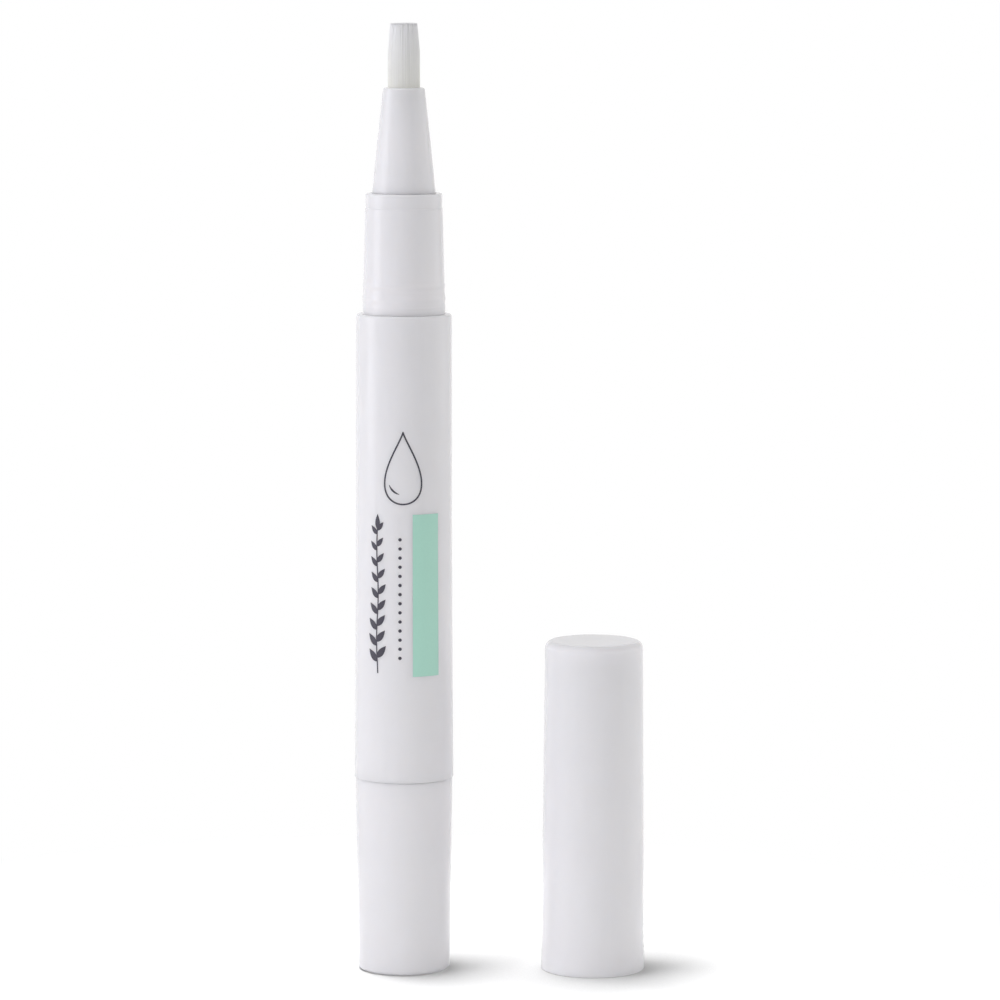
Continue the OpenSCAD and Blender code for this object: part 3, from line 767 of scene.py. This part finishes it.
fibre_spots, fibre_faces = [], []
levels = [tuft_low + ROOT_RISE, nozzle_top - MOUTH_DEPTH]
levels += [tuft_top - depth for depth in LEVEL_DEPTHS]
for index in range(FIBRES):
    share = (index + 0.5) / FIBRES
    root_r = math.sqrt(TUFT_HEART_R**2 + ((TUFT_R - FIBRE_R) ** 2 - TUFT_HEART_R**2) * share)
    angle = GOLDEN_ANGLE * index
    wander = Vector((draws.uniform(-1, 1), draws.uniform(-1, 1))) * WANDER
    domed = TIP_DOME * (root_r / TUFT_R) ** TIP_DOME_CURVE
    top = tuft_top - TIP_DEPTH - domed - draws.uniform(0, TIP_UNEVEN)
    top += TIP_SLANT * (root_r * math.cos(angle) / TUFT_R - 1)
    start = len(fibre_spots)
    rings = [(z, FIBRE_R) for z in levels]
    rings += [(top - TIP_L, FIBRE_TIP_R), (top, FIBRE_TIP_R * TIP_END_SHARE)]
    for z, thick in rings:
        out = root_r * lean(z)
        up = max(0.0, (z - nozzle_top) / (tuft_top - nozzle_top))
        middle = Vector((out * math.cos(angle), out * math.sin(angle))) + wander * up * lean(z)
        for side in range(FIBRE_SIDES):
            turn = 2 * math.pi * side / FIBRE_SIDES + angle
            spot = (middle.x + thick * math.cos(turn), middle.y + thick * math.sin(turn), z)
            fibre_spots.append(Vector(spot) * MM)
    for ring in range(len(rings) - 1):
        for side in range(FIBRE_SIDES):
            after = (side + 1) % FIBRE_SIDES
            low, high = start + ring * FIBRE_SIDES, start + (ring + 1) * FIBRE_SIDES
            fibre_faces.append((low + side, low + after, high + after, high + side))
    last = start + (len(rings) - 1) * FIBRE_SIDES
    fibre_faces.append(list(range(start + FIBRE_SIDES - 1, start - 1, -1)))
    fibre_faces.append(list(range(last, last + FIBRE_SIDES)))

# %% Bind the fibres in their backing
BACKING_R = 2.9
BACKING_H = 1.4
BACKING_BORE_R = 0.62
backing_high = tuft_low + BACKING_H
backing_outline = [
    (BACKING_BORE_R, backing_high, FINE_EDGE),
    (BACKING_R, backing_high, SOFT_EDGE),
    (BACKING_R, tuft_low, SOFT_EDGE),
    (BACKING_BORE_R, tuft_low, FINE_EDGE),
]
backing = turned("brush_backing", rounded(backing_outline, True), True)
fibre_mesh = bpy.data.meshes.new("brush_fibres")
fibre_mesh.from_pydata(fibre_spots, [], fibre_faces)
fibre_mesh.shade_smooth()
brush = bpy.data.objects.new("brush_fibres", fibre_mesh)
bpy.context.scene.collection.objects.link(brush)
nylon = fibre_nylon("fibre_nylon", glow_share=0.1, glow_mm=0.2)
placed(brush, "pen_body", "bristle_nylon", nylon, "brush_tuft")
placed(backing, "pen_body", "bristle_nylon", nylon)
print("fibres:", FIBRES, "with", len(fibre_faces), "faces")

# %% Fill the bundle behind its outer fibres
CORE_INSET = 0.06
CORE_R = TUFT_R - CORE_INSET
CORE_HEART_R = 0.72
CORE_DEPTH = 0.22
CORE_STEP = 0.45
CORE_RINGS = 10
CORE_SUNK = 0.1
core_levels = [tuft_top - CORE_DEPTH - CORE_STEP * step for step in range(CORE_RINGS)]
core_levels += [nozzle_top, backing_high - CORE_SUNK]
core_points = [Vector((CORE_R * lean(z), z)) for z in core_levels]
core_points += [Vector((CORE_HEART_R * lean(z), z)) for z in reversed(core_levels)]
core = turned("brush_core", core_points, True)
placed(core, "pen_body", "bristle_nylon", fibre_nylon("oiled_nylon", glow_share=0.6, glow_mm=1.2))

# %% [markdown]
# ## Print on the barrel
# A printed film of ink lies on the front of the barrel: a mint panel, and charcoal marks beside and above
# it. The marks here are a plain sprig of leaves, a row of dots and a drop of oil, drawn for this pen. Ink
# could be a mask in the barrel's material, but its edges would then blur if the material were baked. So
# each mark is a film of its own that follows the barrel's taper and curve and stands a fiftieth of a
# millimetre proud of it.

# %% Lay points on the barrel
FILM_PROUD = 0.02
FILM_SUNK = 0.03


def barrel_radius(z):
    """Outer radius of the barrel at a height, in millimetres."""
    if z > seam_z + waist_rise:
        share = (z - seam_z - waist_rise) / (barrel_top - seam_z - waist_rise)
        return waist_r + (BARREL_TOP_R - waist_r) * share
    return barrel_foot_r + (waist_r - barrel_foot_r) * (z - seam_z) / waist_rise


def on_barrel(across, z, lift):
    """A point on the barrel's front, from its distance round the barrel and its height."""
    radius = barrel_radius(z) + lift
    angle = across / waist_r
    return Vector((radius * math.sin(angle), -radius * math.cos(angle), z)) * MM


# %% Make a film from a grid of points
def film(grid, looped=False):
    """Spots and faces of a thin closed film over rows of (across, height) points."""
    spots, faces = [], []
    rows, columns = len(grid), len(grid[0])
    for lift in (FILM_PROUD, -FILM_SUNK):
        for row in grid:
            for across, z in row:
                spots.append(on_barrel(across, z, lift))
    under = rows * columns

    def at(row, column):
        return row % rows * columns + column

    for row in range(rows if looped else rows - 1):
        for column in range(columns - 1):
            cell = (at(row, column), at(row, column + 1), at(row + 1, column + 1), at(row + 1, column))
            faces.append(cell)
            faces.append(tuple(spot + under for spot in reversed(cell)))
        for column, flip in ((0, False), (columns - 1, True)):
            near, far = at(row, column), at(row + 1, column)
            wall = [near, far, far + under, near + under]
            faces.append(tuple(reversed(wall)) if flip else tuple(wall))
    if not looped:
        for row, flip in ((0, True), (rows - 1, False)):
            for column in range(columns - 1):
                near, far = at(row, column), at(row, column + 1)
                wall = [near, far, far + under, near + under]
                faces.append(tuple(reversed(wall)) if flip else tuple(wall))
    return spots, faces


def printed(name, grids, material):
    """One piece from several films."""
    spots, faces = [], []
    for grid, looped in grids:
        more_spots, more_faces = film(grid, looped)
        faces += [tuple(spot + len(spots) for spot in face) for face in more_faces]
        spots += more_spots
    mesh = bpy.data.meshes.new(name)
    mesh.from_pydata(spots, [], faces)
    made = bpy.data.objects.new(name, mesh)
    bpy.context.scene.collection.objects.link(made)
    print("printed", name, len(faces), "faces")
    return placed(made, "pen_body", "shell_plastic", material)


# %% Strokes and leaves as rows of points
LEAF_STEPS = 14
LEAF_COLUMNS = 5
LEAF_POINT = 0.02
LEAF_BALANCE = 0.8
LEAF_FULLNESS = 0.9


def stroke(path, half_width, columns=3, looped=False):
    """Rows across a path of (across, height) points; half_width is a number or a rule along the path."""
    grid = []
    count = len(path)
    for index, spot in enumerate(path):
        before = path[index - 1] if looped or index > 0 else spot
        after = path[(index + 1) % count] if looped or index < count - 1 else spot
        along = (after - before).normalized()
        side = Vector((along.y, -along.x))
        half = half_width(index / (count - 1)) if callable(half_width) else half_width
        row = []
        for column in range(columns):
            point = spot + side * half * (2 * column / (columns - 1) - 1)
            row.append((point.x, point.y))
        grid.append(row)
    return grid, looped


def leaf(root, direction, length, width):
    """A pointed leaf that grows from its root."""
    path = [root + direction * length * step / LEAF_STEPS for step in range(LEAF_STEPS + 1)]

    def half_width(share):
        swell = math.sin(math.pi * share**LEAF_BALANCE) ** LEAF_FULLNESS
        return max(LEAF_POINT, width / 2 * swell)

    return stroke(path, half_width, LEAF_COLUMNS)


# %% Finish of the inks
SPECKLE_MM = 0.35
SPECKLE_DETAIL = 3.0
SPECKLE_DEPTH_MM = 0.001
INK_WANDER = 0.12


def ink(name, colour, shade, roughness):
    """Printed ink, even but not quite flat."""
    material, net = new_net(name)
    speckle = net.noise(SPECKLE_MM, SPECKLE_DETAIL)
    sockets = {
        "Base Color": net.mixed(speckle, (*colour, 1), (*shade, 1)),
        "Roughness": speckle * INK_WANDER + roughness,
        "Normal": net.bump(speckle, SPECKLE_DEPTH_MM),
    }
    skin = net.node("ShaderNodeBsdfPrincipled", None, sockets)
    net.node("ShaderNodeOutputMaterial", None, {"Surface": skin})
    print("ink", name)
    return material


mint = ink("mint_ink", colour=(0.44, 0.76, 0.635), shade=(0.47, 0.79, 0.665), roughness=0.36)
charcoal = ink("charcoal_ink", colour=(0.045, 0.04, 0.06), shade=(0.06, 0.055, 0.075), roughness=0.3)

# %% Print the panel
PANEL_ACROSS = (1.33, 5.27)
PANEL_HEIGHT = (42.0, 64.42)
PANEL_ROWS = 24
PANEL_COLUMNS = 20
panel_left, panel_right = PANEL_ACROSS
panel_low, panel_high = PANEL_HEIGHT
panel_grid = []
for row in range(PANEL_ROWS + 1):
    z = panel_low + (panel_high - panel_low) * row / PANEL_ROWS
    panel_row = []
    for column in range(PANEL_COLUMNS + 1):
        panel_row.append((panel_left + (panel_right - panel_left) * column / PANEL_COLUMNS, z))
    panel_grid.append(panel_row)
printed("mint_panel", [(panel_grid, False)], mint)

# %% Print the sprig
SPRIG_ACROSS = -3.7
SPRIG_SWAY = 0.12
SPRIG_SWAY_RATE = 0.5
STEM_FOOT = 42.4
STEM_STEP = 0.5
STEM_STEPS = 40
STEM_HALF_W = 0.09
LEAF_PAIRS = 9
FIRST_PAIR = 44.0
PAIR_STEP = 2.2
PAIR_OFFSET = 0.55
LEAF_L = 2.15
LEAF_LOSS = 0.08
LEAF_W_SHARE = 0.42
LEAF_OUT, LEAF_UP = 0.62, 0.78
TOP_LEAF_Z = 62.3
TOP_LEAF_L = 2.1
TOP_LEAF_W = 0.75


def on_stem(z):
    """A point of the gently swaying stem."""
    return Vector((SPRIG_ACROSS + SPRIG_SWAY * math.sin(z * SPRIG_SWAY_RATE), z))


stem = [on_stem(STEM_FOOT + STEM_STEP * step) for step in range(STEM_STEPS + 1)]
sprig = [stroke(stem, STEM_HALF_W)]
for pair in range(LEAF_PAIRS):
    for side in (-1, 1):
        z = FIRST_PAIR + pair * PAIR_STEP + (PAIR_OFFSET if side > 0 else 0)
        size = LEAF_L - LEAF_LOSS * pair
        sprig.append(leaf(on_stem(z), Vector((side * LEAF_OUT, LEAF_UP)), size, size * LEAF_W_SHARE))
sprig.append(leaf(Vector((SPRIG_ACROSS, TOP_LEAF_Z)), Vector((0, 1)), TOP_LEAF_L, TOP_LEAF_W))
printed("leaf_sprig", sprig, charcoal)

# %% Print the row of dots
DOTS = 14
DOT_ACROSS = -0.42
DOT_R = 0.24
DOT_STEPS = 8
DOT_COLUMNS = 5
DOT_POINT = 0.03
FIRST_DOT = 44.6
DOT_PITCH = 1.26


def dot_half_width(share):
    """Half of a dot's width at a share of its height."""
    return max(DOT_POINT, DOT_R * math.sqrt(max(0, 1 - (2 * share - 1) ** 2)))


dots = []
for count in range(DOTS):
    z = FIRST_DOT + count * DOT_PITCH
    path = [Vector((DOT_ACROSS, z - DOT_R + 2 * DOT_R * step / DOT_STEPS)) for step in range(DOT_STEPS + 1)]
    dots.append(stroke(path, dot_half_width, DOT_COLUMNS))
printed("dot_row", dots, charcoal)

# %% Print the drop
DROP_MIDDLE = 70.4
DROP_LIFT = 0.4
DROP_R = 3.3
DROP_STEPS = 96
DROP_TALL = 1.5
DROP_WIDE = 1.12
DROP_NARROWING = 1.5
DROP_HALF_W = 0.11
GLEAM_FROM = 195
GLEAM_SWEEP = 55
GLEAM_STEPS = 16
GLEAM_SUNK = 1.2
GLEAM_R_SHARE = 0.62
GLEAM_HALF_W = (0.03, 0.1)


def drop_outline(radius):
    """A closed drop: a circle below whose upper part is drawn to a point."""
    points = []
    for step in range(DROP_STEPS):
        turn = 2 * math.pi * step / DROP_STEPS
        narrow = math.sin(turn / 2) ** DROP_NARROWING
        across = radius * math.sin(turn) * narrow * DROP_WIDE
        points.append(Vector((across, DROP_MIDDLE + DROP_LIFT + radius * DROP_TALL * math.cos(turn))))
    return points


def gleam_half_width(share):
    """Half of the width of the small light drawn in the drop."""
    end, swell = GLEAM_HALF_W
    return end + swell * math.sin(math.pi * share)


drop = [stroke(drop_outline(DROP_R), DROP_HALF_W, looped=True)]
gleam = []
gleam_r = DROP_R * GLEAM_R_SHARE
for step in range(GLEAM_STEPS + 1):
    turn = math.radians(GLEAM_FROM + GLEAM_SWEEP * step / GLEAM_STEPS)
    gleam.append(Vector((math.sin(turn) * gleam_r, DROP_MIDDLE - GLEAM_SUNK + math.cos(turn) * gleam_r)))
drop.append(stroke(gleam, gleam_half_width))
printed("oil_drop_mark", drop, charcoal)

# %% [markdown]
# ## The knob and what is inside
# The knob is moulded in the same white plastic as the barrel. The drive inside the pen is made of a harder,
# slightly translucent plastic, and the piston, the cap's inner cup and the plug that holds the brush are
# milky polyethylene. All these solids have the right shape already, so they only get a finish.

# %% Finish the solids that stay
milky = moulded_plastic(
    "milky_polyethylene",
    colour=(0.80, 0.81, 0.82),
    shade=(0.76, 0.77, 0.79),
    roughness=0.42,
    glow_mm=1.2,
)
acetal = moulded_plastic(
    "drive_acetal",
    colour=(0.70, 0.73, 0.75),
    shade=(0.66, 0.69, 0.72),
    roughness=0.3,
    glow_mm=0.8,
    grain_depth_mm=0.003,
    lines_depth_mm=0.002,
)
tube = moulded_plastic(
    "clear_tube",
    colour=(0.78, 0.79, 0.80),
    shade=(0.74, 0.75, 0.77),
    roughness=0.2,
    glow_mm=1.0,
    grain_depth_mm=0.001,
    lines_depth_mm=0.001,
)
finishes = {
    "knob_shell": shell_white,
    "cap_liner": milky,
    "brush_retainer": milky,
    "piston": milky,
    "feed_tube": tube,
    "screw_rod": acetal,
    "drive_nut": acetal,
    "tail_housing": acetal,
    "drive_sleeve": acetal,
    "click_ring": acetal,
}
for name, finish in finishes.items():
    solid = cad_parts[name]
    solid.data.materials.clear()
    solid.data.materials.append(finish)
print("finished solids:", len(finishes))

# %% Measure the visual box and finish
low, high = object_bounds()
print("visual box in mm:", [round(side / MM, 2) for side in high - low])
